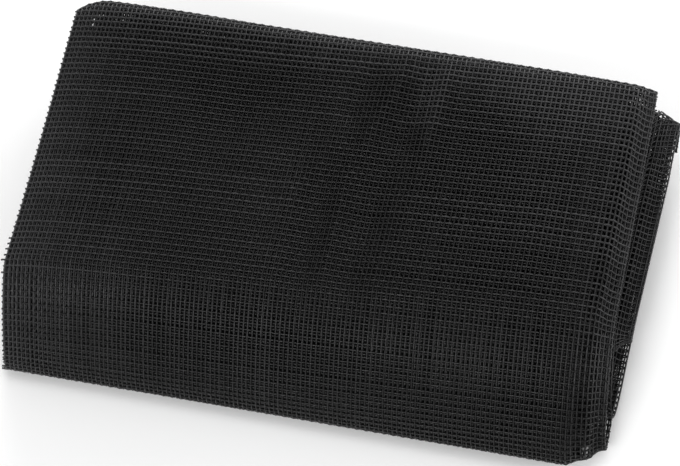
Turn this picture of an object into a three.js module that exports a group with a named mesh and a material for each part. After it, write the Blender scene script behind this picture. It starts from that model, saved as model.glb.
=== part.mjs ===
// Insect screen mesh, folded into a soft packet. It is one cut of black coated screen cloth.
// The cloth is first folded in three across its width, like a letter, which makes a long strip of
// three layers. The strip is then laid back and forth in three panels and the pile is folded once
// in half, so that the outer panel goes under the packet, round its front and over its top.
// Millimetres, +Z up, +X along the packet, -Y to its rounded front. The packet lies on z = 0.
import * as THREE from 'three';
import { mergeVertices } from 'three/addons/utils/BufferGeometryUtils.js';

// The cloth and how close its layers lie.
const SHEET = 1.2;
const SHEET_GAP = 0.8;
const PANEL_GAP = 1.1;
const LAYERS = 3;
const STRIP = LAYERS * SHEET + (LAYERS - 1) * SHEET_GAP;
const HALF = STRIP / 2;
const PANEL_PITCH = STRIP + PANEL_GAP;
const PANELS = 6;
const HEIGHT = (PANELS - 1) * PANEL_PITCH + STRIP;

// The strip across its width. The top layer has its cut edge at the left. At the right it drops
// over the middle layer's cut edge, down to near the bottom layer, and turns under in the right
// fold. The bottom layer comes back, turns up in the left fold and ends as the middle layer. The
// stations are where the layers can bend.
const TOP_CUT_X = -97.6;
const RIGHT_FOLD_X = 89.05;
const LEFT_FOLD_X = -98.0;
const MIDDLE_CUT_X = 81.0;
const DROP_FROM_X = 82.8;
const DROP_TO_X = 87.4;
const DROP_STEPS = 3;
const DROPPED_DEPTH = -0.4;
const CROSS_STATIONS = [-92, -84, -62, -24, 14, 50, 70, 76.8, 79.8, 82.8, 85.1];

// The packet's outer lines in plan, each given where it meets the left and the right end, and the
// shift that brings the middle of the packet to the origin.
const BACK_LINE = { left: 66.9, right: 54.0 };
const RIDGE_LINE = { left: -30.5, right: -25.2 };
const FRONT_REACH = { left: 24.6, right: 40.0 };
const CENTRE = { x: 1.93, y: -1.47 };

// How the back corner of the folded panels is drawn in at the left, and how the inner cut end
// slants at the right.
const CORNER_LENGTH = 11;
const CORNER_DEPTH = 4.0;
const SLANT_FROM_X = 80.0;
const SLANT = 0.45;

// The two wide rounds at the front: how far each starts behind the ridge, then the handle that
// carries it forward, the place where it meets its lower panel and the handle there, in shares of
// the front's reach less a length. At the right the rounds are set back before the top layer
// drops. The waist is how far a round has drifted in X halfway, over an even drift between its
// panels. The innermost panels meet in a close fold of their own.
const SET_BACK = 3.0;
const SET_BACK_FROM_X = 76.8;
const SET_BACK_TO_X = 82.8;
const OUTER_ROUND = {
  start: 0,
  upper: 0.48,
  end: 0.70,
  lower: 0.56,
  less: 0,
  waist: { left: 2.2, right: 0 },
};
const MIDDLE_ROUND = {
  start: 1.0,
  upper: 0.46,
  end: 0.40,
  lower: 0.64,
  less: 4.5,
  waist: { left: 0.8, right: 0 },
};
const INNER_FOLD_BEHIND = 1.0;

// The panels in the order of the strip: which of the six levels from the floor each lies on, how
// far its cut or folded end stays inside the back line, and how far the strip has drifted in X
// where the panel begins and where it ends, each at the left and at the right end.
const UNDER = {
  level: 0,
  inset: { left: 5.0, right: 5.0 },
  begins: { left: -2.0, right: 0.5 },
  ends: { left: -2.5, right: 0.6 },
};
const COVER = {
  level: 5,
  inset: { left: 0, right: 0 },
  begins: { left: -0.6, right: -0.6 },
  ends: { left: 0.0, right: 1.1 },
};
const SECOND = {
  level: 4,
  inset: { left: 0, right: 0 },
  begins: { left: -0.7, right: 0.4 },
  ends: { left: -1.4, right: -0.4 },
};
const LOW = {
  level: 1,
  inset: { left: 2.5, right: 2.5 },
  begins: { left: -1.8, right: 2.0 },
  ends: { left: -2.6, right: 6.1 },
};
const LOW_INNER = {
  level: 2,
  inset: { left: 2.5, right: 2.5 },
  begins: { left: -2.6, right: 6.1 },
  ends: { left: -2.2, right: 3.9 },
};
const INNER = {
  level: 3,
  inset: { left: 2.0, right: 1.6 },
  begins: { left: -2.2, right: 3.7 },
  ends: { left: -2.0, right: 7.7 },
};

// Swells and hollows that the whole pile shows, fading out towards its flat underside.
const SWELLS = [
  { x: -106, y: 4, wide: 26, deep: 90, rise: -3.4 },
  { x: 104, y: 0, wide: 24, deep: 90, rise: -2.0 },
  { x: -35, y: 40, wide: 30, deep: 24, rise: -0.9 },
  { x: -10, y: -4, wide: 16, deep: 40, rise: -0.7 },
  { x: 58, y: 10, wide: 26, deep: 26, rise: 0.6 },
  { x: 10, y: 70, wide: 120, deep: 16, rise: -0.8 },
  { x: -104, y: 4, wide: 8, deep: 90, rise: -3.0 },
  { x: 97, y: 0, wide: 9.5, deep: 90, rise: -1.5 },
];

// Steps along the strip on a straight panel, round the front and round a close fold, and the
// steps round the folds at the strip's two sides.
const PANEL_STEPS = 3;
const COVER_STEPS = 7;
const OUTER_ROUND_STEPS = 12;
const MIDDLE_ROUND_STEPS = 9;
const TURN_STEPS = 6;
const SIDE_FOLD_STEPS = 4;
const CURVE_SAMPLES = 120;

function between(line, x) {
  const share = (x - TOP_CUT_X) / (RIGHT_FOLD_X - TOP_CUT_X);
  return line.left + share * (line.right - line.left);
}

function backAt(x) {
  const near = Math.max(0, 1 - (x - TOP_CUT_X) / CORNER_LENGTH);
  return between(BACK_LINE, x) - CORNER_DEPTH * near * near;
}

function levelHeight(panel) {
  return HALF + panel.level * PANEL_PITCH;
}

// The end of a panel's straight part at the back, which leaves room for the fold there.
function backEnd(panel, x) {
  return backAt(x) - between(panel.inset, x) - HALF - PANEL_PITCH / 2;
}

// One wide round at this x, from its upper panel to its lower one.
function roundCurve(round, above, below, x) {
  const setBack = SET_BACK * THREE.MathUtils.smoothstep(x, SET_BACK_FROM_X, SET_BACK_TO_X);
  const reach = between(FRONT_REACH, x) - round.less - setBack;
  const start = between(RIDGE_LINE, x) + round.start;
  const end = start - round.end * reach;
  return new THREE.CubicBezierCurve(
    new THREE.Vector2(start, levelHeight(above)),
    new THREE.Vector2(start - round.upper * reach, levelHeight(above)),
    new THREE.Vector2(end - round.lower * reach, levelHeight(below)),
    new THREE.Vector2(end, levelHeight(below)),
  );
}

function reversed(curve) {
  return new THREE.CubicBezierCurve(curve.v3, curve.v2, curve.v1, curve.v0);
}

// Shares of a curve at which its length and its bend together are dealt out evenly, so that the
// tight part of a round has as many steps as the long part.
function evenShares(curve, steps) {
  const length = curve.getLength();
  const reached = [0];
  for (let i = 1; i <= CURVE_SAMPLES; i += 1) {
    const from = (i - 1) / CURVE_SAMPLES;
    const to = i / CURVE_SAMPLES;
    const step = curve.getPoint(to).distanceTo(curve.getPoint(from)) / length;
    const bend = Math.abs(curve.getTangent(to).angleTo(curve.getTangent(from))) / Math.PI;
    reached.push(reached[i - 1] + step + bend);
  }
  const shares = [];
  for (let k = 0; k < steps; k += 1) {
    const wanted = (reached[CURVE_SAMPLES] * k) / steps;
    const next = reached.findIndex((measure) => measure > wanted);
    const part = (wanted - reached[next - 1]) / (reached[next] - reached[next - 1]);
    shares.push((next - 1 + part) / CURVE_SAMPLES);
  }
  return shares;
}

// The middle of the strip at one x, from its cut end under the packet to its inner cut end, as
// points in Y and Z with the direction of the strip there and its drift in X.
function foldLine(x) {
  const outerRound = roundCurve(OUTER_ROUND, COVER, UNDER, x);
  const middleRound = roundCurve(MIDDLE_ROUND, SECOND, LOW, x);
  const innerFold = between(RIDGE_LINE, x) + INNER_FOLD_BEHIND;
  const points = [];

  function drift(from, to, share) {
    return between(from, x) + (between(to, x) - between(from, x)) * share;
  }

  function straight(fromY, toY, panel, steps) {
    const along = new THREE.Vector2(Math.sign(toY - fromY), 0);
    for (let i = 0; i < steps; i += 1) {
      const share = i / steps;
      const y = fromY + (toY - fromY) * share;
      points.push({ y, z: levelHeight(panel), along, drift: drift(panel.begins, panel.ends, share) });
    }
  }

  function round(curve, from, to, steps, waist) {
    for (const share of evenShares(curve, steps)) {
      const spot = curve.getPoint(share);
      const along = curve.getTangent(share);
      const atWaist = between(waist, x) * 4 * share * (1 - share);
      const drifted = drift(from.ends, to.begins, share) + atWaist;
      points.push({ y: spot.x, z: spot.y, along, drift: drifted });
    }
  }

  function turn(centreY, from, to, side) {
    const middle = (levelHeight(from) + levelHeight(to)) / 2;
    const half = (levelHeight(to) - levelHeight(from)) / 2;
    for (let i = 0; i < TURN_STEPS; i += 1) {
      const share = i / TURN_STEPS;
      const angle = Math.PI * share;
      const y = centreY + side * Math.abs(half) * Math.sin(angle);
      const z = middle - half * Math.cos(angle);
      const along = new THREE.Vector2(side * Math.cos(angle), Math.sign(half) * Math.sin(angle));
      points.push({ y, z, along, drift: drift(from.ends, to.begins, share) });
    }
  }

  straight(between(BACK_LINE, x) - between(UNDER.inset, x), outerRound.v3.x, UNDER, PANEL_STEPS);
  round(reversed(outerRound), UNDER, COVER, OUTER_ROUND_STEPS, OUTER_ROUND.waist);
  straight(outerRound.v0.x, backEnd(COVER, x), COVER, COVER_STEPS);
  turn(backEnd(COVER, x), COVER, SECOND, 1);
  straight(backEnd(SECOND, x), middleRound.v0.x, SECOND, PANEL_STEPS);
  round(middleRound, SECOND, LOW, MIDDLE_ROUND_STEPS, MIDDLE_ROUND.waist);
  straight(middleRound.v3.x, backEnd(LOW, x), LOW, PANEL_STEPS);
  turn(backEnd(LOW, x), LOW, LOW_INNER, 1);
  straight(backEnd(LOW_INNER, x), innerFold, LOW_INNER, PANEL_STEPS);
  turn(innerFold, LOW_INNER, INNER, -1);
  const cutEnd = backAt(x) - between(INNER.inset, x) - SLANT * Math.max(0, x - SLANT_FROM_X);
  straight(innerFold, cutEnd, INNER, PANEL_STEPS);
  const along = new THREE.Vector2(1, 0);
  points.push({ y: cutEnd, z: levelHeight(INNER), along, drift: between(INNER.ends, x) });
  return points;
}

// The middle of the cloth across the strip, from the top layer's cut edge to the middle layer's:
// points in X and in the strip's depth, each with the direction that the cloth faces there.
function stripLine() {
  const layerStep = SHEET + SHEET_GAP;
  const rightRadius = (DROPPED_DEPTH + layerStep) / 2;
  const leftRadius = layerStep / 2;
  const rightX = RIGHT_FOLD_X - rightRadius - SHEET / 2;
  const leftX = LEFT_FOLD_X + leftRadius + SHEET / 2;
  const points = [];

  function layer(depth, facing, fromX, toX) {
    const passed = CROSS_STATIONS.filter((x) => (x - fromX) * (x - toX) < 0);
    const inside = fromX < toX ? passed : passed.toReversed();
    for (const x of [fromX, ...inside, toX]) {
      points.push({ x, depth, facing: new THREE.Vector2(0, facing) });
    }
  }

  function drop() {
    const length = DROP_TO_X - DROP_FROM_X;
    const height = layerStep - DROPPED_DEPTH;
    for (let i = 1; i <= DROP_STEPS; i += 1) {
      const share = i / DROP_STEPS;
      const depth = layerStep - height * share * share * (3 - 2 * share);
      const slope = (height / length) * 6 * share * (1 - share);
      const facing = new THREE.Vector2(slope, 1).normalize();
      points.push({ x: DROP_FROM_X + length * share, depth, facing });
    }
  }

  function sideFold(centreX, centreDepth, radius, side) {
    for (let i = 1; i < SIDE_FOLD_STEPS; i += 1) {
      const angle = Math.PI * (i / SIDE_FOLD_STEPS);
      const facing = new THREE.Vector2(side * Math.sin(angle), side * Math.cos(angle));
      const x = centreX + radius * facing.x;
      points.push({ x, depth: centreDepth + radius * facing.y, facing });
    }
  }

  layer(layerStep, 1, TOP_CUT_X, DROP_FROM_X);
  drop();
  sideFold(rightX, DROPPED_DEPTH - rightRadius, rightRadius, 1);
  layer(-layerStep, -1, rightX, leftX);
  sideFold(leftX, -leftRadius, leftRadius, -1);
  layer(0, 1, leftX, MIDDLE_CUT_X);
  return points;
}

function swellAt(x, y) {
  let rise = 0;
  for (const swell of SWELLS) {
    const across = (x - swell.x) / swell.wide;
    const along = (y - swell.y) / swell.deep;
    rise += swell.rise * Math.exp(-across * across - along * along);
  }
  return rise;
}

// Where a point of the strip comes to lie: x across it, its depth in it and its station along
// the fold line.
function folded(x, depth, station) {
  const here = foldLine(x)[station];
  const y = here.y - here.along.y * depth;
  const z = here.z + here.along.x * depth;
  const share = (here.z - HALF) / (HEIGHT - STRIP);
  const placeX = x + here.drift;
  return new THREE.Vector3(placeX, y, z + share * swellAt(placeX, y));
}

// The flat cut is a thin box with a step for each station, and each of its points is then laid
// where the two foldings bring it.
function foldedCloth() {
  const across = stripLine();
  const acrossSteps = across.length - 1;
  const alongSteps = foldLine(0).length - 1;
  const cut = new THREE.BoxGeometry(acrossSteps, alongSteps, SHEET, acrossSteps, alongSteps, 1);
  cut.deleteAttribute('normal');
  cut.deleteAttribute('uv');
  const cloth = mergeVertices(cut);
  const places = cloth.getAttribute('position');
  for (let i = 0; i < places.count; i += 1) {
    const spot = across[Math.round(places.getX(i) + acrossSteps / 2)];
    const station = Math.round(places.getY(i) + alongSteps / 2);
    const off = spot.facing.clone().multiplyScalar(places.getZ(i));
    const place = folded(spot.x + off.x, spot.depth + off.y, station);
    places.setXYZ(i, place.x + CENTRE.x, place.y + CENTRE.y, place.z);
  }
  cloth.computeVertexNormals();
  return cloth;
}

const screenBlack = new THREE.MeshStandardMaterial({
  name: 'coated_screen',
  color: 0x1c1c1d,
  roughness: 0.5,
  metalness: 0,
});

const packet = new THREE.Group();
const cloth = new THREE.Mesh(foldedCloth(), screenBlack);
cloth.name = 'folded_mesh';
packet.add(cloth);

export default packet;
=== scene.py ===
# %% [markdown]
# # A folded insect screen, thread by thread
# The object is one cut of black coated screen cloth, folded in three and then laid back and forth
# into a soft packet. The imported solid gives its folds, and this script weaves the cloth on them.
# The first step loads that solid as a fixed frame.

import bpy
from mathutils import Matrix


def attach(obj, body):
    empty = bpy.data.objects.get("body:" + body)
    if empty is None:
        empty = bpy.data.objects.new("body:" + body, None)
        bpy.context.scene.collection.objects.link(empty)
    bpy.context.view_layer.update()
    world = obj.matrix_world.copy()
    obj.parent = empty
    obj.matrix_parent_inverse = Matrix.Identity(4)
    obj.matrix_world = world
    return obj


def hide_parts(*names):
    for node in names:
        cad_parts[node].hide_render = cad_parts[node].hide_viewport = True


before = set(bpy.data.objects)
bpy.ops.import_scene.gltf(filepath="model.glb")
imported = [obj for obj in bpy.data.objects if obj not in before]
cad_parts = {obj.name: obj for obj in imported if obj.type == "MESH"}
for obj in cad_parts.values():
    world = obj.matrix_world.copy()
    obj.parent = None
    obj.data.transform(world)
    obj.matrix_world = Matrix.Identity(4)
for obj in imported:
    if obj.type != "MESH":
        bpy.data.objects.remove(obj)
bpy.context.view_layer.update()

import math

import bpy
import numpy as np
from mathutils import Quaternion, Vector

MM = 0.001

# %% [markdown]
# ## The camera
# The picture was taken with a long lens from above the packet's front, a little to the right and
# with the camera tilted to one side. A camera could be placed by eye, but the spacing of the
# threads over the picture gives its place closely, so it is set from that measured direction.

# %% Camera
PICTURE_WIDTH = 680
FOCAL_LENGTH_IN_PIXELS = 2670
SENSOR_WIDTH = 36.0
CENTRE = Vector((1.93, -1.47, 0.0))
LOOK_AT = (Vector((3.5, -11.0, 37.0)) + CENTRE) * MM
VIEW_DISTANCE = 797.9 * MM
VIEW_AZIMUTH = math.radians(23.51)
VIEW_ELEVATION = math.radians(60.35)
VIEW_ROLL = math.radians(-14.13)
NEAREST_SEEN = 0.01

TO_CAMERA = Vector((
    math.sin(VIEW_AZIMUTH) * math.cos(VIEW_ELEVATION),
    -math.cos(VIEW_AZIMUTH) * math.cos(VIEW_ELEVATION),
    math.sin(VIEW_ELEVATION),
))


def add_camera():
    data = bpy.data.cameras.new("camera")
    data.sensor_width = SENSOR_WIDTH
    data.lens = FOCAL_LENGTH_IN_PIXELS * SENSOR_WIDTH / PICTURE_WIDTH
    data.clip_start = NEAREST_SEEN
    camera = bpy.data.objects.new("camera", data)
    bpy.context.scene.collection.objects.link(camera)
    camera.location = LOOK_AT + TO_CAMERA * VIEW_DISTANCE
    turn = TO_CAMERA.to_track_quat("Z", "Y") @ Quaternion((0, 0, 1), VIEW_ROLL)
    camera.rotation_euler = turn.to_euler()
    bpy.context.scene.camera = camera
    return camera


camera = add_camera()
print("camera at", [round(v, 3) for v in camera.location], "lens", round(camera.data.lens, 1))

# %% [markdown]
# ## The weave's sizes
# Screen cloth is a plain weave of coated yarn, with the threads heat-bonded where they cross.
# The closer threads run from the back of the packet to its front and are called columns here.
# The others run along the packet and are called rows. All lengths below are in millimetres.

# %% Weave
COLUMN_PITCH = 1.41
ROW_PITCH = 1.97
THREAD_RADIUS = 0.32
WEAVE_RISE = 0.15
ROWS_PROUD = 0.07
CLOTH_THICKNESS = 2 * (THREAD_RADIUS + WEAVE_RISE)
UNEVEN_SPACING = 0.035
SEED = 11
rng = np.random.default_rng(SEED)
print("cloth", round(CLOTH_THICKNESS, 2), "mm thick")

# %% [markdown]
# ## The two foldings
# The cloth lies on the folds of the solid. It could be draped over them by a simulation, but a
# tightly folded packet lies where its folds put it, so the sizes of the folds are set here, within
# about a millimetre of the solid's own. The strip of three layers has a cut edge and a fold at each
# end of the packet. Along its length it goes under the packet, round the front, over the top and
# then back and forth inside, and its last few millimetres are turned under. Where a size has two
# values, the first is for the left end of the packet and the second for the right end.

# %% Sizes of the folds
STRIP = 5.2
HALF = STRIP / 2
PANELS, PANEL_PITCH = 6, 6.3
HEIGHT = (PANELS - 1) * PANEL_PITCH + STRIP
TOP_CUT_X, RIGHT_FOLD_X = -97.8, 89.09
LEFT_FOLD_X, MIDDLE_CUT_X = -98.05, 81.0
DROP_FROM_X, DROP_TO_X = 82.8, 87.4
BACK_LINE = (66.9, 54.0)
RIDGE_LINE = (-30.5, -25.2)
FRONT_REACH = (24.6, 40.0)
BACK_CORNER = dict(length=11.0, depth=4.0)
SLANT_FROM_X, SLANT = 80.0, 0.45
INNER_FOLD_BEHIND = 1.0
SET_BACK, SET_BACK_FROM_X, SET_BACK_TO_X = 3.0, 76.8, 82.8

OUTER_ROUND = dict(start=0.0, upper=0.48, end=0.70, lower=0.56, less=0.0, waist=(2.2, 0.0))
MIDDLE_ROUND = dict(start=1.0, upper=0.46, end=0.40, lower=0.64, less=4.5, waist=(0.8, 0.0))

UNDER = dict(level=0, inset=(5.0, 5.0), begins=(-2.0, 0.5), ends=(-2.5, 0.6))
COVER = dict(level=5, inset=(0.0, 0.0), begins=(-0.6, -0.6), ends=(0.0, 1.1))
SECOND = dict(level=4, inset=(0.0, 0.0), begins=(-0.7, 0.4), ends=(-1.4, -0.4))
LOW = dict(level=1, inset=(2.5, 2.5), begins=(-1.8, 2.0), ends=(-2.6, 6.1))
LOW_INNER = dict(level=2, inset=(2.5, 2.5), begins=(-2.6, 6.1), ends=(-2.2, 3.9))
INNER = dict(level=3, inset=(2.0, 0.4), begins=(-2.2, 3.9), ends=(-2.0, 8.5))
TUCK = dict(level=2.85, begins=(-2.0, 8.5), ends=(-2.0, 8.5), length=8.0)


def between(line, x):
    """A size at x, from its values at the left and the right end."""
    share = (x - TOP_CUT_X) / (RIGHT_FOLD_X - TOP_CUT_X)
    return line[0] + share * (line[1] - line[0])


def back_at(x):
    """Where the back line lies, with its corner drawn in at the left."""
    near = np.maximum(0, 1 - (x - TOP_CUT_X) / BACK_CORNER["length"])
    return between(BACK_LINE, x) - BACK_CORNER["depth"] * near**2


def ramp(value, begins, ends):
    return np.clip((value - begins) / (ends - begins), 0, 1)


def smooth_ramp(value, begins, ends):
    share = ramp(value, begins, ends)
    return share**2 * (3 - 2 * share)


def drop_share(x):
    return smooth_ramp(x, DROP_FROM_X, DROP_TO_X)


def height_of(panel):
    return HALF + panel["level"] * PANEL_PITCH


def back_end(panel, x):
    return back_at(x) - between(panel["inset"], x) - HALF - PANEL_PITCH / 2


print("packet", HEIGHT, "mm high")

# %% [markdown]
# ## The bends
# The front of the packet is one soft, wide bend, fuller below than above and deeper at the right.
# A plain arc would look mechanical there, so the bend is a Bezier curve whose four points move
# with x.


# %% Bends
def bezier(points, share):
    """Places on a Bezier curve, and how fast it runs there."""
    p0, p1, p2, p3 = points
    rest = 1 - share
    place = rest**3 * p0 + 3 * rest**2 * share * p1 + 3 * rest * share**2 * p2 + share**3 * p3
    speed = 3 * (rest**2 * (p1 - p0) + 2 * rest * share * (p2 - p1) + share**2 * (p3 - p2))
    return place, speed


def round_handles(size, upper, lower, x):
    """The four points of a wide front bend, from the upper to the lower panel, as ys and zs."""
    reach = between(FRONT_REACH, x) - size["less"]
    reach = reach - SET_BACK * smooth_ramp(x, SET_BACK_FROM_X, SET_BACK_TO_X)
    start = between(RIDGE_LINE, x) + size["start"]
    end = start - size["end"] * reach
    ys = [start, start - size["upper"] * reach, end - size["lower"] * reach, end]
    zs = [height_of(upper), height_of(upper), height_of(lower), height_of(lower)]
    return ys, zs


front_ys = round_handles(OUTER_ROUND, COVER, UNDER, 0.0)[0]
print("the front bend goes from y", round(front_ys[0], 1), "to", round(front_ys[3], 1))

# %% [markdown]
# ## The fold line
# Seen from the packet's end, the middle of the strip is one long line that turns back and forth.
# It could be drawn as a curve object, but the threads need its arc length, because they keep
# their spacing round every bend. So it is worked out here as arrays, one line for each x. A small
# class collects the straight parts and the turns, and then measures the whole.

# %% Fold line
ROUND_STEPS = 60
TURN_STEPS = 24
LAYER_DEPTH = HALF - CLOTH_THICKNESS / 2


class FoldPath:
    """The middle of the strip as seen from the packet's end, with one line for each x."""

    def __init__(self, x):
        self.x = np.asarray(x, float)[:, None]
        self.parts = []
        self.starts = {}

    def add(self, name, y, z, drift, speed_y, speed_z):
        self.starts[name] = sum(part[0].shape[1] for part in self.parts)
        whole = np.broadcast_shapes(np.shape(y), np.shape(z), np.shape(drift))
        size = np.hypot(speed_y, speed_z)
        values = (y, z, drift, speed_y / size, speed_z / size)
        self.parts.append([np.broadcast_to(value, whole) for value in values])

    def straight(self, name, from_y, to_y, panel):
        share = np.array([[0.0, 0.5]])
        begins, ends = between(panel["begins"], self.x), between(panel["ends"], self.x)
        drift = begins + (ends - begins) * share
        y = from_y + (to_y - from_y) * share
        flat = 0 * share
        self.add(name, y, height_of(panel) + flat, drift, np.sign(to_y - from_y) + flat, flat)

    def bend_drift(self, first, last, share):
        ends, begins = between(first["ends"], self.x), between(last["begins"], self.x)
        return ends + (begins - ends) * share

    def wide_round(self, name, first, last, handles, waist):
        share = np.arange(ROUND_STEPS)[None, :] / ROUND_STEPS
        ys, zs = handles
        y, speed_y = bezier(ys, share)
        z, speed_z = bezier(zs, share)
        drift = self.bend_drift(first, last, share) + between(waist, self.x) * 4 * share * (1 - share)
        self.add(name, y, z, drift, speed_y, speed_z)

    def close_turn(self, name, centre_y, first, last, side):
        share = np.arange(TURN_STEPS)[None, :] / TURN_STEPS
        middle = (height_of(first) + height_of(last)) / 2
        half = (height_of(last) - height_of(first)) / 2
        y = centre_y + side * abs(half) * np.sin(math.pi * share)
        z = middle - half * np.cos(math.pi * share)
        speed_y = side * abs(half) * np.cos(math.pi * share)
        speed_z = half * np.sin(math.pi * share)
        self.add(name, y, z, self.bend_drift(first, last, share), speed_y, speed_z)

    def end(self, name, y, panel):
        one = np.ones((1, 1))
        self.add(name, y, height_of(panel) * one, between(panel["ends"], self.x), -one, 0 * one)

    def measured(self, top):
        """The whole line with its lengths, which count as y does where the top part starts."""
        y, z, drift, dir_y, dir_z = (np.concatenate(values, axis=1) for values in zip(*self.parts))
        turned = np.abs(np.diff(np.unwrap(np.arctan2(dir_z, dir_y), axis=1), axis=1))
        steps = np.hypot(np.diff(y, axis=1), np.diff(z, axis=1)) + LAYER_DEPTH * turned
        length = np.concatenate([np.zeros_like(y[:, :1]), np.cumsum(steps, axis=1)], axis=1)
        at = self.starts[top]
        length -= length[:, at:at + 1] - y[:, at:at + 1]
        return dict(length=length, y=y, z=z, drift=drift, dir_y=dir_y, dir_z=dir_z, starts=self.starts)


print("a wide bend has", ROUND_STEPS, "steps and a close turn", TURN_STEPS)

# %% [markdown]
# ## The six panels
# The strip begins at the back, under the packet. It goes round the front and over the top, turns at
# the back, goes round the front once more inside the first bend, and then turns back and forth in
# the middle. Each panel could be an object of its own, but the threads run on through all six, so
# they are parts of one line.


# %% Panels
def fold_line(x):
    path = FoldPath(x)
    x = path.x
    outer_y, outer_z = round_handles(OUTER_ROUND, COVER, UNDER, x)
    middle_y, middle_z = round_handles(MIDDLE_ROUND, SECOND, LOW, x)
    inner_fold = between(RIDGE_LINE, x) + INNER_FOLD_BEHIND
    inner_back = back_at(x) - between(INNER["inset"], x) - SLANT * np.maximum(0, x - SLANT_FROM_X)
    tuck_at = inner_back - HALF - (height_of(INNER) - height_of(TUCK)) / 2
    path.straight("under", between(BACK_LINE, x) - between(UNDER["inset"], x), outer_y[3], UNDER)
    path.wide_round("front", UNDER, COVER, (outer_y[::-1], outer_z[::-1]), OUTER_ROUND["waist"])
    path.straight("cover", outer_y[0], back_end(COVER, x), COVER)
    path.close_turn("back", back_end(COVER, x), COVER, SECOND, 1)
    path.straight("second", back_end(SECOND, x), middle_y[0], SECOND)
    path.wide_round("middle front", SECOND, LOW, (middle_y, middle_z), MIDDLE_ROUND["waist"])
    path.straight("low", middle_y[3], back_end(LOW, x), LOW)
    path.close_turn("low back", back_end(LOW, x), LOW, LOW_INNER, 1)
    path.straight("low inner", back_end(LOW_INNER, x), inner_fold, LOW_INNER)
    path.close_turn("inner front", inner_fold, LOW_INNER, INNER, -1)
    path.straight("inner", inner_fold, tuck_at, INNER)
    path.close_turn("tuck", tuck_at, INNER, TUCK, 1)
    path.straight("tucked", tuck_at, tuck_at - TUCK["length"], TUCK)
    path.end("end", tuck_at - TUCK["length"], TUCK)
    return path.measured("cover")


middle_line = fold_line([0.0])
LENGTH_AT = {name: middle_line["length"][0, at] for name, at in middle_line["starts"].items()}
print("length along the strip at each fold:", {n: round(v, 1) for n, v in LENGTH_AT.items()})

# %% [markdown]
# ## Across the strip
# A row thread starts at the cut edge of the top layer. At the right it drops over the end of the
# middle layer, turns under in a pressed fold and comes back as the bottom layer. At the left it
# turns up and ends between the two, close under the top layer. One coordinate, counted along that
# way, tells where on the strip a thread lies and which way the cloth faces.

# %% Strip line
LAYER_SPACING = 1.05
TOP_STEPS = 4000
MIDDLE_BELOW = LAYER_SPACING * CLOTH_THICKNESS
FULL_DROP = 2 * LAYER_DEPTH - MIDDLE_BELOW
FOLD_RADIUS = MIDDLE_BELOW / 2
RIGHT_X = RIGHT_FOLD_X - FOLD_RADIUS - CLOTH_THICKNESS / 2
LEFT_X = LEFT_FOLD_X + FOLD_RADIUS + CLOTH_THICKNESS / 2

top_x = np.linspace(TOP_CUT_X, RIGHT_X, TOP_STEPS)
top_steps = np.hypot(np.diff(top_x), FULL_DROP * np.diff(drop_share(top_x)))
top_across = np.concatenate([[0], np.cumsum(top_steps)])
RIGHT_FOLD_AT = top_across[-1]
BOTTOM_AT = RIGHT_FOLD_AT + math.pi * FOLD_RADIUS
LEFT_FOLD_AT = BOTTOM_AT + RIGHT_X - LEFT_X
MIDDLE_AT = LEFT_FOLD_AT + math.pi * FOLD_RADIUS
STRIP_WIDTH = MIDDLE_AT + MIDDLE_CUT_X - LEFT_X


def fold_turns(across):
    right = np.clip((across - RIGHT_FOLD_AT) / FOLD_RADIUS, 0, math.pi)
    left = np.clip((across - LEFT_FOLD_AT) / FOLD_RADIUS, 0, math.pi)
    return right, left


def strip_x(across):
    right, left = fold_turns(across)
    first = np.interp(across, top_across, top_x) + np.minimum(across, 0)
    second = np.clip(across, BOTTOM_AT, LEFT_FOLD_AT) - BOTTOM_AT
    third = np.maximum(across, MIDDLE_AT) - MIDDLE_AT
    return first - second + third + FOLD_RADIUS * (np.sin(right) - np.sin(left))


def layer_shares(across):
    """How far each place across has dropped at the right, turned under and turned up again."""
    right, left = fold_turns(across)
    dropped = drop_share(np.interp(across, top_across, top_x))
    return dropped, (1 - np.cos(right)) / 2, (1 - np.cos(left)) / 2


def drop_slope(across):
    share = ramp(np.interp(across, top_across, top_x), DROP_FROM_X, DROP_TO_X)
    return 6 * share * (1 - share) / (DROP_TO_X - DROP_FROM_X)


print("the cloth is", round(STRIP_WIDTH, 1), "mm wide before folding")

# %% [markdown]
# ## Nested layers
# Where a bend or an end draws the three layers tight, they nest in each other's openings and the
# strip gets thinner. A simulation would find that by itself, but slowly. Here a share from nothing
# to one tells how tightly the cloth is drawn, and the depth of the lower two layers follows it.

# %% Nested layers
TIGHT_EASE, TUCK_TIGHT = 9.0, 14.0
TIGHT_STRETCHES = [
    dict(begins=LENGTH_AT["front"], ends=LENGTH_AT["cover"], loose=1),
    dict(begins=LENGTH_AT["back"], ends=LENGTH_AT["second"], loose=0),
    dict(begins=LENGTH_AT["tuck"] - TUCK_TIGHT, ends=LENGTH_AT["end"] + TUCK_TIGHT, loose=0),
]
LOOSE_FROM_X, LOOSE_TO_X = 50.0, 80.0
PINCH_FROM_X, PINCH_TO_X = -76.0, -92.0
NESTED = 0.45


def as_in_middle(along, line):
    """Places along each fold line, counted as on the one in the packet's middle."""
    local = np.stack([line["length"][:, at] for at in line["starts"].values()], axis=1)
    whole = np.broadcast_to(along, (len(local), along.shape[1]))
    middle = list(LENGTH_AT.values())
    return np.array([np.interp(stops, folds, middle) for stops, folds in zip(whole, local)])


def tightness(x, folded):
    """One in the bends, at the turned end and at the left, where the layers are drawn together."""
    tight = np.zeros_like(x + folded)
    for stretch in TIGHT_STRETCHES:
        into = np.clip((folded - stretch["begins"]) / TIGHT_EASE + 0.5, 0, 1)
        out = np.clip((stretch["ends"] - folded) / TIGHT_EASE + 0.5, 0, 1)
        loose = stretch["loose"] * ramp(x, LOOSE_FROM_X, LOOSE_TO_X)
        tight = np.maximum(tight, into * out * (1 - loose))
    return np.maximum(tight, ramp(x, PINCH_FROM_X, PINCH_TO_X))


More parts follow.
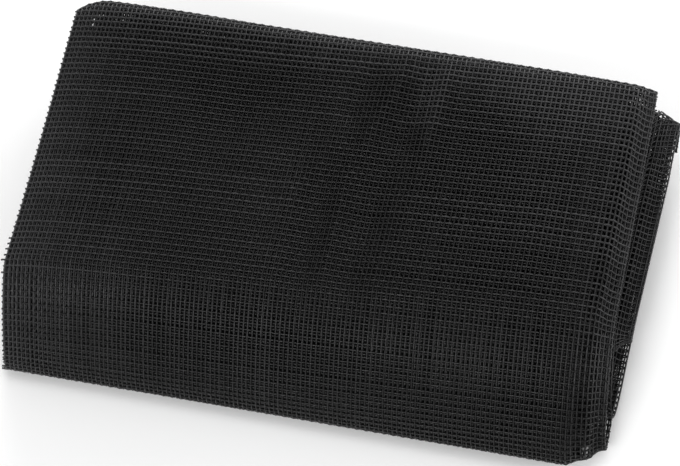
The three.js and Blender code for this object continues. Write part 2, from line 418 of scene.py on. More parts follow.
def layers_below(x, tight):
    """How far the middle and the bottom layer lie under the top one: nested where drawn tight."""
    nested = MIDDLE_BELOW * (1 - NESTED)
    middle = MIDDLE_BELOW + np.maximum(tight, drop_share(x)) * (nested - MIDDLE_BELOW)
    return middle, 2 * LAYER_DEPTH + tight * 2 * (nested - LAYER_DEPTH)


print("layers lie", [round(float(v), 2) for v in layers_below(0.0, 0.0)], "mm under the top one,")
print("and", [round(float(v), 2) for v in layers_below(0.0, 1.0)], "mm where they are drawn tight")

# %% [markdown]
# ## Swells and creases
# The pile sags towards its ends, which the solid has as well. The finer creases are in the cloth
# alone: soft troughs and ridges that fan out from the back edge of the top. Noise would make them
# quickly, but not where they are on the real cloth, so each is placed in plan, with a row
# for each form.

# %% Swells and creases
SWELLS = [
    dict(x=-106, y=4, wide=26, deep=90, rise=-3.4),
    dict(x=104, y=0, wide=24, deep=90, rise=-2.0),
    dict(x=-35, y=40, wide=30, deep=24, rise=-0.9),
    dict(x=-10, y=-4, wide=16, deep=40, rise=-0.7),
    dict(x=58, y=10, wide=26, deep=26, rise=0.6),
    dict(x=10, y=70, wide=120, deep=16, rise=-0.8),
    dict(x=-104, y=4, wide=8, deep=90, rise=-3.0),
    dict(x=97, y=0, wide=9.5, deep=90, rise=-1.5),
]
CREASES = [
    dict(start=(26, 47), end=(23, 24), wide=3.0, rise=0.70),
    dict(start=(19, 47), end=(15, 25), wide=4.0, rise=-0.75),
    dict(start=(13, 53), end=(5, 22), wide=2.5, rise=0.65),
    dict(start=(2, 46), end=(-2, 31), wide=3.0, rise=-0.70),
    dict(start=(14, 20), end=(11, -4), wide=7.0, rise=-0.90),
    dict(start=(11, -4), end=(9, -30), wide=6.0, rise=-0.80),
    dict(start=(-5, 19), end=(-14, 2), wide=4.0, rise=0.45),
    dict(start=(-14, 2), end=(-15, -21), wide=4.5, rise=0.40),
    dict(start=(1.5, 8), end=(1.5, -24), wide=1.8, rise=0.30),
    dict(start=(-5, 0), end=(-6, -31), wide=4.0, rise=-0.45),
    dict(start=(-35, 30), end=(-42, 14), wide=10, rise=-0.60),
    dict(start=(37, 24), end=(48, 25), wide=10, rise=-0.50),
    dict(start=(62, 4), end=(60, -11), wide=7.0, rise=0.50),
]
CREASE_LEFT = dict(bottom=0.3, middle=0.9)


def bump(form, x, y):
    return np.exp(-((x - form["x"]) / form["wide"]) ** 2 - ((y - form["y"]) / form["deep"]) ** 2)


def swell_at(x, y):
    return sum(form["rise"] * bump(form, x, y) for form in SWELLS)


def crease_at(x, along):
    total = np.zeros_like(x + along)
    for form in CREASES:
        (x0, y0), (x1, y1) = form["start"], form["end"]
        run = (x1 - x0) ** 2 + (y1 - y0) ** 2
        share = np.clip(((x - x0) * (x1 - x0) + (along - y0) * (y1 - y0)) / run, 0, 1)
        away = np.hypot(x - x0 - share * (x1 - x0), along - y0 - share * (y1 - y0))
        total = total + form["rise"] * np.exp(-(away / form["wide"]) ** 2)
    return total


print(len(SWELLS), "swells and", len(CREASES), "creases")

# %% [markdown]
# ## Slips
# The lower two layers lie a little shifted under the first. Their threads show between its threads
# in most places, and in step with them along the back. In the bends the three layers lie a third of
# the spacing apart, so that no light comes through. The slips could be shifts of whole layers, but
# a depth shifts a thread too when it is seen at a slant. So they are set as they show from the
# camera, and what the depth of each layer adds is then taken off.

# %% Slips
SLIPS = [
    dict(x=-50, y=66, wide=75, deep=24, across=-0.70, along=0.95),
    dict(x=55, y=15, wide=45, deep=55, across=-0.55, along=0.25),
    dict(x=-30, y=-52, wide=50, deep=20, across=-0.70, along=0.0),
    dict(x=60, y=-60, wide=40, deep=20, across=0.0, along=0.32),
]
EVEN_SLIP = dict(across=0.70, along=-0.98)
THIRDS = dict(across=COLUMN_PITCH / 3, along=-ROW_PITCH / 3)
SLIP_EASE, EDGE_EASE, TAB_EASE = 10.0, 1.5, 1.0
RIGHT_END, LEFT_END = 9.0, 5.0
LEFT_EDGE, EDGE_SLIP = (-88.0, -93.0), -0.27
# Lengths along the strip between which a slip comes in.
FILLED = (LENGTH_AT["back"] - 8, LENGTH_AT["back"] - 2)
BEHIND_BACK = (LENGTH_AT["back"] - 1, LENGTH_AT["back"] + 4)
UNDER_FRONT = (LENGTH_AT["front"] + 14, LENGTH_AT["front"] + 8)
INSIDE = (LENGTH_AT["second"], LENGTH_AT["second"] + 30)
BEFORE_TUCK = (LENGTH_AT["tuck"] - 20, LENGTH_AT["tuck"] - 8)
LEAST_FACING, MOST_SEEN = 0.4, 0.6


def out_of_step(offset):
    """How far columns that are this far off lie from the nearest columns of the top layer."""
    return offset - COLUMN_PITCH * round(offset / COLUMN_PITCH)


def seen_shift(folded):
    """How far a thread one millimetre under the top layer shows beside its own place there."""
    dir_y = np.interp(folded, middle_line["length"][0], middle_line["dir_y"][0])
    dir_z = np.interp(folded, middle_line["length"][0], middle_line["dir_z"][0])
    facing = TO_CAMERA.z * dir_y - TO_CAMERA.y * dir_z
    facing = np.copysign(np.maximum(LEAST_FACING, np.abs(facing)), facing)
    seen_along = (TO_CAMERA.y * dir_y + TO_CAMERA.z * dir_z) / facing
    return TO_CAMERA.x / facing, np.clip(seen_along, -MOST_SEEN, MOST_SEEN)


def slip_shares(x, across):
    """How much of its slip each place takes, which is less near a fold, where two layers are one."""
    middle = np.clip((across - MIDDLE_AT - LEFT_END) / SLIP_EASE, 0, 1)
    bottom = np.minimum(across - BOTTOM_AT - RIGHT_END, LEFT_FOLD_AT - LEFT_END - across)
    bottom = np.clip(bottom / SLIP_EASE, 0, 1)
    edge = ramp(x, *LEFT_EDGE) * ramp(across, LEFT_FOLD_AT + EDGE_EASE, LEFT_FOLD_AT)
    edge = edge * (across > BOTTOM_AT)
    tab = ramp(across, RIGHT_FOLD_AT - TAB_EASE, BOTTOM_AT + TAB_EASE)
    tab = tab * ramp(across, BOTTOM_AT + RIGHT_END + SLIP_EASE, BOTTOM_AT + RIGHT_END)
    return middle, bottom, edge, tab


def shown_slips(x, along, folded):
    """How far the threads of the middle and the bottom layer show beside those of the top one."""
    middle = {way: EVEN_SLIP[way] + sum(f[way] * bump(f, x, along) for f in SLIPS) for way in EVEN_SLIP}
    behind = np.maximum(ramp(folded, *BEHIND_BACK), ramp(folded, *UNDER_FRONT))
    middle = {way: middle[way] + behind * (THIRDS[way] - middle[way]) for way in middle}
    filling = np.maximum(ramp(folded, *FILLED), ramp(x, PINCH_FROM_X, PINCH_TO_X))
    filling = np.maximum(filling, behind)
    bottom = {
        "across": middle["across"] + filling * (COLUMN_PITCH - middle["across"]) / 2,
        "along": middle["along"] - filling * (ROW_PITCH + middle["along"]) / 2,
    }
    return middle, bottom


def slip_at(x, along, across, folded):
    """How far each place on the lower two layers lies shifted, across and along."""
    middle, bottom = shown_slips(x, along, folded)
    middle_share, bottom_share, edge, tab = slip_shares(x, across)
    seen_x, seen_along = seen_shift(folded)
    middle_below, bottom_below = layers_below(x, tightness(x, folded))
    middle_x = middle["across"] - seen_x * middle_below - out_of_step(LEFT_X - MIDDLE_AT - TOP_CUT_X)
    bottom_x = bottom["across"] - seen_x * bottom_below - out_of_step(RIGHT_X + BOTTOM_AT - TOP_CUT_X)
    middle_along = middle["along"] - seen_along * middle_below
    bottom_along = bottom["along"] - seen_along * bottom_below
    inside = ramp(folded, *INSIDE)
    slipped = np.maximum(1 - inside, ramp(folded, *BEFORE_TUCK))
    slip_x = slipped * (middle_share * middle_x + bottom_share * bottom_x + edge * EDGE_SLIP)
    slip_along = slipped * (middle_share * middle_along + bottom_share * bottom_along)
    return slip_x, slip_along - inside * tab * ROW_PITCH / 2


print(len(SLIPS), "slips on top of an even one of", list(EVEN_SLIP.values()), "mm")

# %% [markdown]
# ## From the flat cut to the packet
# Every point of the flat cut has a place across and a place along. Two modifiers could fold a flat
# mesh, one after the other, but the threads also slip and crease. So this one function lays a point
# in the packet: the strip line gives its layer, the fold line its panel, and the swells, creases
# and slips the last small shift. It also gives the direction that the cloth faces there.


# %% Lay the cloth
def lay(across, along):
    """Places and facings, in millimetres, for each across with its own or with the same alongs."""
    across = np.asarray(across, float)
    along = np.atleast_2d(np.asarray(along, float))
    x = strip_x(across)[:, None]
    dropped, under, up = (share[:, None] for share in layer_shares(across))
    line = fold_line(x[:, 0])
    folded = as_in_middle(along, line)
    middle_below, bottom_below = layers_below(x, tightness(x, folded))
    drop = bottom_below - middle_below
    depth = LAYER_DEPTH - dropped * drop - under * middle_below + up * drop
    turned = sum(fold_turns(across))[:, None] + np.arctan(drop_slope(across)[:, None] * drop)
    slip_x, slip_along = slip_at(x, along, across[:, None], folded)
    reached = along + slip_along
    found = {}
    for name in ("y", "z", "drift", "dir_y", "dir_z"):
        rows = [np.interp(reached[i], line["length"][i], line[name][i]) for i in range(len(across))]
        found[name] = np.array(rows)
    size = np.hypot(found["dir_y"], found["dir_z"])
    up_y, up_z = -found["dir_z"] / size, found["dir_y"] / size
    left = 1 - (under - up) * (1 - CREASE_LEFT["bottom"]) - up * (1 - CREASE_LEFT["middle"])
    on_outer = folded < LENGTH_AT["second"]
    deep = depth + left * crease_at(x, along) * on_outer
    y = found["y"] + up_y * deep
    z = found["z"] + up_z * deep
    share = (found["z"] - HALF) / (HEIGHT - STRIP)
    place_x = x + slip_x + found["drift"]
    z = z + share * swell_at(place_x, y)
    place = np.stack([place_x, y, z], axis=-1) + np.array(CENTRE)
    face_x, face_up = np.sin(turned), np.cos(turned)
    facing = np.stack([face_x + 0 * up_y, up_y * face_up, up_z * face_up], axis=-1)
    return place, facing


def cut_ends(across):
    """How far along the strip its two cut ends lie, at each place across."""
    line = fold_line(strip_x(np.asarray(across, float)))
    return line["length"][:, 0], line["length"][:, -1]


spot, facing = lay([50.0], [0.0])
print("a point on top:", spot.round(2).tolist(), "faces", facing.round(2).tolist())

# %% [markdown]
# ## Where the threads run
# A loom sets threads evenly, but never quite, and that slight unevenness is what makes cloth look
# like cloth. Each thread gets a place of its own, a little off the even spacing.


# %% Thread places
def thread_places(start, end, pitch):
    count = int((end - start) / pitch)
    even = start + pitch * (np.arange(count) + 0.5)
    return even + rng.normal(0, UNEVEN_SPACING * pitch, count)


CUT_STEPS = 60
first_cuts, last_cuts = cut_ends(np.linspace(0, STRIP_WIDTH, CUT_STEPS))
FIRST_CUT, LAST_CUT = float(min(first_cuts)), float(max(last_cuts))
columns_at = thread_places(0, STRIP_WIDTH, COLUMN_PITCH)
rows_at = thread_places(FIRST_CUT, LAST_CUT, ROW_PITCH)
column_number = np.arange(len(columns_at))
row_number = np.arange(len(rows_at))
print(len(columns_at), "columns and", len(rows_at), "rows")
print("the strip is", round(LAST_CUT - FIRST_CUT, 1), "mm long with its slanting ends")

# %% [markdown]
# ## Painted sheen and shade
# The threads are painted lighter along the folds and edges, as painted sheen where the light
# grazes them, and deeper black in the middle, as painted shade. A painted map would do it, but a
# few soft spots in plan are enough. Each spot adds to the tone of the threads that pass through it,
# and each thread has a tone of its own as well. On top the rows stand a little proud of the columns,
# most of all along the back, under the ridge the columns do, and at the foot the rows again. The
# proud threads are painted lighter, as a painted highlight where the light catches them, and the
# sunk ones darker, as painted shade.

# %% Painted sheen and shade spots
EVEN_TONE, ROW_TONES, COLUMN_TONES = 0.5, 2.4, 1.3
# The proud threads are painted lighter by this much, as a painted highlight, and the sunk ones darker,
# as painted shade.
PROUD_HIGHLIGHT = 0.8
PROUD_Y = (-60.0, -38.0, -28.0, 8.0, 40.0)
PROUD = (0.2, -1.0, 0.35, 0.35, 0.9)
# Spots of painted sheen where the light grazes the back, the ends and the folds, and spots of painted
# shade in the middle.
SHEEN_AND_SHADE_SPOTS = [
    dict(x=-101, y=0, wide=14, deep=200, lit=3.0),
    dict(x=-60, y=67, wide=60, deep=12, lit=2.8),
    dict(x=20, y=60, wide=60, deep=11, lit=2.0),
    dict(x=70, y=51, wide=32, deep=20, lit=3.2),
    dict(x=94, y=0, wide=12, deep=70, lit=1.4),
    dict(x=-75, y=-35, wide=30, deep=18, lit=0.7),
    dict(x=24, y=38, wide=5, deep=12, lit=1.6),
    dict(x=4, y=-4, wide=20, deep=30, lit=-1.5),
    dict(x=-34, y=32, wide=24, deep=12, lit=-1.6),
    dict(x=34, y=22, wide=20, deep=16, lit=-0.9),
    dict(x=12, y=36, wide=8, deep=12, lit=-1.6),
    dict(x=7, y=12, wide=10, deep=16, lit=-1.1),
    dict(x=-42, y=0, wide=16, deep=50, lit=-0.9),
    dict(x=45, y=-25, wide=34, deep=14, lit=-1.1),
    dict(x=10, y=-37, wide=75, deep=9, lit=-1.2),
    dict(x=55, y=-58, wide=40, deep=14, lit=-1.8),
]


# Painted sheen where a spot is above nought and painted shade where it is below.
def painted_light_at(x, y):
    return sum(spot["lit"] * bump(spot, x, y) for spot in SHEEN_AND_SHADE_SPOTS)


def proud_at(y):
    """One where the rows stand proud of the columns, and minus one where the columns do."""
    return np.interp(y, PROUD_Y, PROUD)


print(len(SHEEN_AND_SHADE_SPOTS), "worn or unlit spots")

# %% [markdown]
# ## Threads as meshes
# Hundreds of metres of thread are too many for curve objects, so each set of threads is one mesh
# made from arrays. A thread is a row of small rings, joined by quads and closed at its ends. On
# the outer sheet there is a ring at every crossing, where the thread goes over or under. Inside
# the packet the threads are straight for long stretches and need few rings.


# %% Thread meshes
def unit(vectors):
    return vectors / np.maximum(np.linalg.norm(vectors, axis=-1, keepdims=True), 1e-12)


def thread_faces(places, facings, kept, sides):
    """Points and faces of closed tubes along the middle axis of places, where kept is true."""
    along = unit(np.gradient(places, axis=1))
    side = unit(np.cross(along, facings))
    up = np.cross(side, along)
    turn = 2 * math.pi * np.arange(sides) / sides
    ring = np.cos(turn)[:, None] * up[:, :, None, :] + np.sin(turn)[:, None] * side[:, :, None, :]
    points = places[:, :, None, :] + THREAD_RADIUS * ring
    threads, rings = kept.shape
    number = np.arange(threads * rings * sides).reshape(threads, rings, sides)
    after = np.roll(number, -1, axis=2)
    joined = kept[:, :-1] & kept[:, 1:]
    quads = np.stack([number[:, :-1], after[:, :-1], after[:, 1:], number[:, 1:]], axis=-1)
    edge = np.zeros((threads, 1), bool)
    begins = np.concatenate([joined, edge], axis=1) & ~np.concatenate([edge, joined], axis=1)
    ends = np.concatenate([edge, joined], axis=1) & ~np.concatenate([joined, edge], axis=1)
    caps = np.concatenate([number[begins][:, ::-1], number[ends]])
    return points.reshape(-1, 3), quads[joined].reshape(-1, 4), caps


def make_piece(name, sets):
    """One mesh object from several sets of threads, each with its points, quads, caps and tones."""
    points, corners, sizes, tones = [], [], [], []
    count = 0
    for place, quads, caps, tone in sets:
        points.append(place)
        tones.append(tone)
        for faces in (quads, caps):
            corners.append((faces + count).ravel())
            sizes.append(np.full(len(faces), faces.shape[1]))
        count += len(place)
    points, tones = np.concatenate(points), np.concatenate(tones)
    # Every point's tone takes the painted sheen and painted shade of the spots.
    tones = tones + painted_light_at(points[:, 0], points[:, 1])
    corners, sizes = np.concatenate(corners), np.concatenate(sizes)
    used, corners = np.unique(corners, return_inverse=True)
    mesh = bpy.data.meshes.new(name)
    mesh.vertices.add(len(used))
    mesh.vertices.foreach_set("co", (points[used] * MM).astype(np.float32).ravel())
    mesh.loops.add(len(corners))
    mesh.loops.foreach_set("vertex_index", corners.astype(np.int32).ravel())
    mesh.polygons.add(len(sizes))
    mesh.polygons.foreach_set("loop_start", (np.cumsum(sizes) - sizes).astype(np.int32))
    mesh.polygons.foreach_set("use_smooth", np.ones(len(sizes), bool))
    tone = mesh.attributes.new("tone", "FLOAT", "POINT")
    tone.data.foreach_set("value", tones[used].astype(np.float32))
    mesh.update(calc_edges=True)
    mesh.validate()
    piece = bpy.data.objects.new(name, mesh)
    bpy.context.scene.collection.objects.link(piece)
    print(name, "has", int((sizes - 2).sum()), "triangles")
    return piece


# %% [markdown]
# ## Which rings a thread needs
# A ring at every crossing all through the packet would be millions of faces. So the rings are
# thinned where they don't show: a straight stretch keeps every few crossings, and a bend keeps a
# ring for each few degrees of its turn.

# %% Rings
TURN_PER_RING = math.radians(16)
FOLD_RINGS = 7
TAIL_STOPS = (0.45, 0.9, 1.5, 2.2)
END_MARGIN, FOLD_MARGIN = 0.2, 0.3


def rings_along(low, high, every):
    """Places along the strip for a column's rings, from low to high."""
    inside = rows_at[(rows_at > low + END_MARGIN) & (rows_at < high - END_MARGIN)]
    if every == 1:
        return np.concatenate([[low], inside, [high]])
    fine = np.linspace(low, high, 2 * len(inside))
    heading = np.unwrap(np.arctan2(
        np.interp(fine, middle_line["length"][0], middle_line["dir_z"][0]),
        np.interp(fine, middle_line["length"][0], middle_line["dir_y"][0]),
    ))
    turned = np.concatenate([[0], np.cumsum(np.abs(np.diff(heading)))]) / TURN_PER_RING
    passed = np.concatenate([[0], np.cumsum(np.diff(fine))]) / (every * ROW_PITCH)
    budget = turned + passed
    count = max(2, math.ceil(budget[-1]))
    return np.interp(np.linspace(0, budget[-1], count + 1), budget, fine)


def rings_across(low, high, every):
    """Places across the cloth for a row's rings, from low to high, with more round the folds."""
    inside = columns_at[(columns_at > low + END_MARGIN) & (columns_at < high - END_MARGIN)][::every]
    tails = -np.array(TAIL_STOPS) if low == 0 else np.zeros(0)
    stops = [np.array([low, high]), inside, tails]
    drop_at = DROP_FROM_X - TOP_CUT_X
    folds = ((drop_at, RIGHT_FOLD_AT), (RIGHT_FOLD_AT, BOTTOM_AT), (LEFT_FOLD_AT, MIDDLE_AT))
    for begins, ends in folds if every > 1 else folds[1:]:
        bend = np.linspace(begins, ends, FOLD_RINGS)
        clear = (stops[1] < bend[0] - FOLD_MARGIN) | (stops[1] > bend[-1] + FOLD_MARGIN)
        stops[1] = stops[1][clear]
        stops.append(bend[(bend > low) & (bend < high)])
    return np.unique(np.concatenate(stops))


outer_rings = rings_along(LENGTH_AT["under"], LENGTH_AT["second"], 4)
print("rings of a thinned column over the outer bend:", len(outer_rings))

# %% [markdown]
# ## Thread ends
# The edges of the cloth are raw cuts. Along the left one each row sticks out past the outermost
# column by a length of its own, and by more in the two places where the edge has frayed. Hair would
# grow such ends easily, but not as the ends of these threads, so they are lengths for the weaving.

# %% Thread ends
COLUMN_TAIL = 0.45
ROW_TAIL = 0.35
RAGGED = [
    dict(along=-30, wide=7, tail=1.2),
    dict(along=LENGTH_AT["front"] + 8, wide=9, tail=1.5),
]

row_tails = ROW_TAIL * rng.random(len(rows_at))
for place in RAGGED:
    near = np.exp(-(((rows_at - place["along"]) / place["wide"]) ** 2))
    row_tails += near * place["tail"] * rng.random(len(rows_at))
print("the longest thread end is", round(float(row_tails.max()), 2), "mm")

# %% [markdown]
# ## Weaving a stretch of cloth
# A stretch is a range across and a range along. Its columns and its rows are laid in the packet and
# pushed apart at each crossing. A column ends at its own first and last row, and a row stops where
# it would pass a slanting cut end. An array of one crossing would be shorter to write, but it
# couldn't follow the folds.

# %% Weave a stretch
UNWOVEN_RISE = 0.5


def over_under(columns, rows):
    return np.cos(math.pi * columns) * np.cos(math.pi * rows)


def weave_columns(across, along, every, sides, painted_lift=0.0):
    low, high = across
    near, far = along
    mine = (columns_at >= low) & (columns_at < high)
    stops = rings_along(near, far, every)
    first, last = cut_ends(columns_at[mine])
    first_row = rows_at[np.searchsorted(rows_at, first)] - COLUMN_TAIL
    last_row = rows_at[np.searchsorted(rows_at, last) - 1] + COLUMN_TAIL
    begins, ends = np.maximum(near, first_row)[:, None], np.minimum(far, last_row)[:, None]
    ring_along = begins + (ends - begins) * (stops - near) / (far - near)
    place, facing = lay(columns_at[mine], ring_along)
    numbers = np.interp(ring_along, rows_at, row_number)
    rise = over_under(column_number[mine][:, None], numbers) if every == 1 else UNWOVEN_RISE
    proud = proud_at(place[..., 1])
    place = place + (WEAVE_RISE * rise - ROWS_PROUD * proud)[..., None] * facing
    points, quads, caps = thread_faces(place, facing, np.ones(ring_along.shape, bool), sides)
    tone = np.repeat(COLUMN_TONES * (rng.random(mine.sum()) - 0.5), len(stops) * sides)
    # Columns are painted lighter where they stand proud and darker where the rows do, as painted
    # highlight and shade; the stretch's lift is painted light.
    tone = tone + EVEN_TONE + painted_lift - PROUD_HIGHLIGHT * proud_at(points[:, 1])
    return points, quads, caps, tone


def weave_rows(across, along, every, sides, painted_lift=0.0):
    low, high = across
    near, far = along
    picked = (rows_at >= near) & (rows_at < far)
    mine = rows_at[picked]
    stops = rings_across(low, high, every)
    place, facing = lay(stops, mine)
    numbers = np.interp(stops, columns_at, column_number)
    rise = over_under(numbers[:, None], row_number[picked][None, :]) if every == 1 else UNWOVEN_RISE
    first, last = cut_ends(stops)
    inside = (mine > first[:, None]) & (mine < last[:, None]) & (stops[:, None] > -row_tails[picked])
    proud = proud_at(place[..., 1])
    place = place + (ROWS_PROUD * proud - WEAVE_RISE * rise)[..., None] * facing
    place, facing = place.transpose(1, 0, 2), facing.transpose(1, 0, 2)
    points, quads, caps = thread_faces(place, facing, inside.T, sides)
    tone = np.repeat(ROW_TONES * (rng.random(picked.sum()) - 0.5), len(stops) * sides)
    # Rows are painted lighter where they stand proud and darker where the columns do, as painted
    # highlight and shade; the stretch's lift is painted light.
    tone = tone + EVEN_TONE + painted_lift + PROUD_HIGHLIGHT * proud_at(points[:, 1])
    return points, quads, caps, tone


print("a crossing lifts or lowers a thread by", WEAVE_RISE, "mm")

# %% [markdown]
# ## The five stretches
# The real cloth is one cut, but one mesh of it would be too heavy to handle. So it is woven as five
# stretches that meet thread by thread. The outer sheet has every crossing, and the stretches that
# hardly show have few rings. The lining is the lower two layers of the outer panels. Its threads are
# painted lighter and glossier, as painted light against the shade of the top layer, so that they
# show through the openings.

# %% The five stretches
FACE_END = BOTTOM_AT + 4 * COLUMN_PITCH
UNDER_END = LENGTH_AT["front"] - 6.0
OUTER_END = LENGTH_AT["second"] + 4.0
MIDDLE_END = (LENGTH_AT["low back"] + LENGTH_AT["low inner"]) / 2
stretches = {
    "screen_face": dict(across=(0, FACE_END), along=(UNDER_END, OUTER_END), every=1, sides=4),
    "screen_underside": dict(across=(0, FACE_END), along=(FIRST_CUT, UNDER_END), every=1, sides=3),
    "screen_lining": dict(
        # The lining's tone is lifted as painted light against the shade of the top layer.
        across=(FACE_END, STRIP_WIDTH), along=(FIRST_CUT, OUTER_END), every=3, sides=3, painted_lift=1.9
    ),
    "screen_middle": dict(across=(0, STRIP_WIDTH), along=(OUTER_END, MIDDLE_END), every=5, sides=3),
    "screen_heart": dict(across=(0, STRIP_WIDTH), along=(MIDDLE_END, LAST_CUT), every=5, sides=3),
}
pieces = {
    name: make_piece(name, [weave_columns(**size), weave_rows(**size)])
    for name, size in stretches.items()
}

# %% [markdown]
# ## Shader maths
# Node trees are quick to draw by hand and slow to read in code. One small class makes them read
# as sums: it wraps the output of a node, and adding or multiplying two of them adds a Math node.


# %% Wires between nodes
class Wire:
    """One output in a node tree."""

    def __init__(self, tree, socket=None):
        self.tree = tree
        self.socket = socket

    def node(self, kind, settings=None, sockets=None, output=0):
        made = self.tree.nodes.new(kind)
        for name, value in (settings or {}).items():
            setattr(made, name, value)
        for name, value in (sockets or {}).items():
            if isinstance(value, Wire):
                self.tree.links.new(value.socket, made.inputs[name])
            else:
                made.inputs[name].default_value = value
        return Wire(self.tree, made.outputs[output] if made.outputs else None)

    def math(self, operation, first, second):
        return self.node("ShaderNodeMath", {"operation": operation}, {0: first, 1: second})

    def __add__(self, other):
        return self.math("ADD", self, other)

    def __radd__(self, other):
        return self.math("ADD", other, self)

    def __mul__(self, other):
        return self.math("MULTIPLY", self, other)

    def __rmul__(self, other):
        return self.math("MULTIPLY", other, self)

    def __sub__(self, other):
        return self.math("SUBTRACT", self, other)

    def __rsub__(self, other):
        return self.math("SUBTRACT", other, self)


print("wires ready")

# %% [markdown]
# ## The coated yarn
# The yarn is black and has a smooth coating that shines softly. No two threads are quite alike,
# so each has its own tone, and the coating's gloss changes over the cloth where it was handled.
# The tone also carries the painted sheen, painted shade and painted highlights set above, and the
# lining's painted lift, and these move the colour between the two blacks.
# The lining gets a copy of the yarn with more gloss, as painted light against the shade that the top
# layer casts on it. An image could hold all this, but noise and the tones of the threads need none.

# %% Coated yarn
DEEP_BLACK = (0.003, 0.003, 0.0031, 1)
# The lighter black stands for the rubbed coating in the noise patches and for painted sheen from the
# tone.
WORN_AND_SHEEN_BLACK = (0.031, 0.031, 0.032, 1)
YARN_SPECULAR = 0.28
# The lining's extra gloss is painted light against the shade of the top layer.
LIT_LINING_SPECULAR = 0.42
PATCH_SCALE, GRAIN_SCALE = 45.0, 5200.0
SKIN_STRENGTH, SKIN_DEPTH = 0.12, 0.0001
# The tone's share brings its painted sheen and painted shade into the colour.
TONE_SHARE, PATCH_WEAR, WEAR_FROM = 0.32, 0.4, 0.17
LEAST_ROUGH, PATCH_ROUGH, TONE_ROUGH = 0.3, 0.14, 0.03


def coated_yarn(name, specular):
    material = bpy.data.materials.new(name)
    material.use_nodes = True
    tree = material.node_tree
    tree.nodes.clear()
    start = Wire(tree)
    place = start.node("ShaderNodeTexCoord", output="Object")
    tone = start.node("ShaderNodeAttribute", {"attribute_name": "tone"}, output="Fac")

    def noise(scale, detail):
        sockets = {"Vector": place, "Scale": scale, "Detail": detail}
        return start.node("ShaderNodeTexNoise", sockets=sockets)

    patches, grain = noise(PATCH_SCALE, 3.0), noise(GRAIN_SCALE, 1.0)
    # The mix takes a rubbed coating from the noise patches, and painted sheen and painted shade from
    # the tone.
    wear_and_painted_light = tone * TONE_SHARE + patches * PATCH_WEAR - WEAR_FROM
    colour = start.node(
        "ShaderNodeMix",
        {"data_type": "RGBA", "clamp_factor": True},
        {"Factor": wear_and_painted_light, 6: DEEP_BLACK, 7: WORN_AND_SHEEN_BLACK},
        output=2,
    )
    rough = LEAST_ROUGH + patches * PATCH_ROUGH + tone * TONE_ROUGH
    skin = start.node("ShaderNodeBump", sockets={
        "Strength": SKIN_STRENGTH,
        "Distance": SKIN_DEPTH,
        "Height": grain,
    })
    yarn = start.node("ShaderNodeBsdfPrincipled", sockets={
        "Base Color": colour,
        "Roughness": rough,
        "Normal": skin,
        "Specular IOR Level": specular,
    })
    start.node("ShaderNodeOutputMaterial", sockets={"Surface": yarn})
    return material


# The yarn whose tone holds the painted sheen, shade and highlights.
toned_yarn = coated_yarn("coated_yarn", YARN_SPECULAR)
# A lit copy of the yarn for the lining, as painted light against the shade it lies in.
lit_lining_yarn = coated_yarn("lit_lining_yarn", LIT_LINING_SPECULAR)
for name, piece in pieces.items():
    piece.data.materials.append(lit_lining_yarn if name == "screen_lining" else toned_yarn)
print("yarn on", list(pieces))

# %% [markdown]
# ## Floor
# The packet lies on a plain pale floor. Its shadow there is what makes it look heavy enough to lie
# still, so the floor is wide, matt and nearly white.

# %% Floor
FLOOR_SIZE = 6.0
FLOOR_GREY = (0.9, 0.9, 0.9, 1)
FLOOR_ROUGH, FLOOR_SPECULAR = 0.9, 0.1


def add_floor():
    half = FLOOR_SIZE / 2
    mesh = bpy.data.meshes.new("floor")
    corners = [(-half, -half, 0), (half, -half, 0), (half, half, 0), (-half, half, 0)]
    mesh.from_pydata(corners, [], [(0, 1, 2, 3)])
    floor = bpy.data.objects.new("floor", mesh)
    bpy.context.scene.collection.objects.link(floor)
    material = bpy.data.materials.new("pale_floor")
    material.use_nodes = True
    base = material.node_tree.nodes["Principled BSDF"]
    base.inputs["Base Color"].default_value = FLOOR_GREY
    base.inputs["Roughness"].default_value = FLOOR_ROUGH
    base.inputs["Specular IOR Level"].default_value = FLOOR_SPECULAR
    mesh.materials.append(material)
    return floor


add_floor()
print("floor", FLOOR_SIZE, "m wide")

# %% [markdown]
# ## Light
# Black thread shows by what it reflects, so the lights matter more than its colour. One large light
# would be the usual choice, but it would leave the sides black. Here the world is bright near the
# horizon and greyer above, as in a white tent, which puts a soft edge on every thread. Small lights
# in front and above give the rows and columns their highlights, and those at the back and at the
# right lift the folds there.

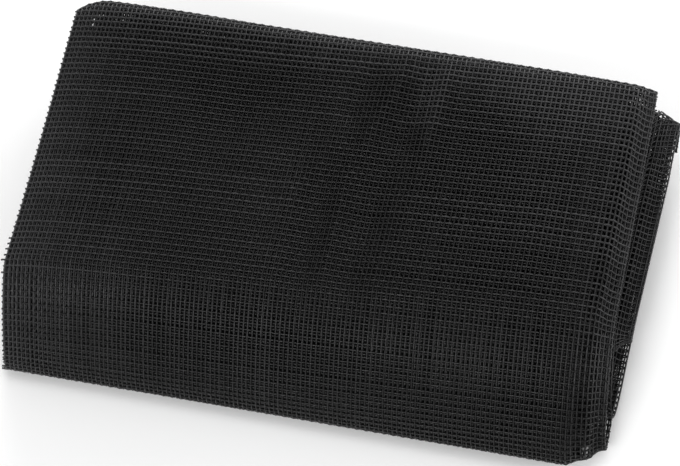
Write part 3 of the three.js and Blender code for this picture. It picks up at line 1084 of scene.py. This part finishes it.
# %% World and lights
ZENITH_GREY = (0.4, 0.4, 0.4, 1)
HORIZON_WHITE = (1.4, 1.4, 1.4, 1)
LIGHTS = [
    dict(name="front_light", place=(-0.25, -1.0, 1.1), size=(0.5, 0.35), power=7.5),
    dict(name="top_light", place=(0.1, 0.1, 1.6), size=(0.7, 0.7), power=5),
    dict(name="back_light", place=(0.1, 1.1, 0.5), size=(1.4, 0.5), power=12),
    dict(name="right_light", place=(1.1, -0.2, 0.4), size=(0.5, 0.4), power=5),
]


def add_soft_light(name, place, size, power):
    data = bpy.data.lights.new(name, "AREA")
    data.shape = "RECTANGLE"
    data.size, data.size_y = size
    data.energy = power
    light = bpy.data.objects.new(name, data)
    bpy.context.scene.collection.objects.link(light)
    light.location = place
    light.rotation_euler = Vector(place).to_track_quat("Z", "Y").to_euler()
    return light


def add_world():
    world = bpy.data.worlds.new("studio")
    world.use_nodes = True
    tree = world.node_tree
    tree.nodes.clear()
    start = Wire(tree)
    way = start.node("ShaderNodeTexCoord", output="Generated")
    height = start.node("ShaderNodeSeparateXYZ", sockets={"Vector": way}, output="Z")
    colour = start.node(
        "ShaderNodeMix",
        {"data_type": "RGBA", "clamp_factor": True},
        {"Factor": (1 - height) * (1 - height), 6: ZENITH_GREY, 7: HORIZON_WHITE},
        output=2,
    )
    sky = start.node("ShaderNodeBackground", sockets={"Color": colour, "Strength": 1.0})
    start.node("ShaderNodeOutputWorld", sockets={"Surface": sky})
    bpy.context.scene.world = world


add_world()
for light in LIGHTS:
    add_soft_light(**light)
bpy.context.scene.view_settings.view_transform = "Standard"
print("world and", len(LIGHTS), "soft lights")

# %% [markdown]
# ## What the pieces are
# The five pieces are stretches of one cloth. They all stand for the one solid, so each is attached to
# the root, the solid is hidden, and the size that each stretch has when it lies flat is printed.

for name, piece in pieces.items():
    size = stretches[name]
    width = (size["across"][1] - size["across"][0]) * MM
    length = (size["along"][1] - size["along"][0]) * MM
    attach(piece, "root")
    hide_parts("folded_mesh")
    print(name, "is", round(width, 3), "by", round(length, 3), "m flat")
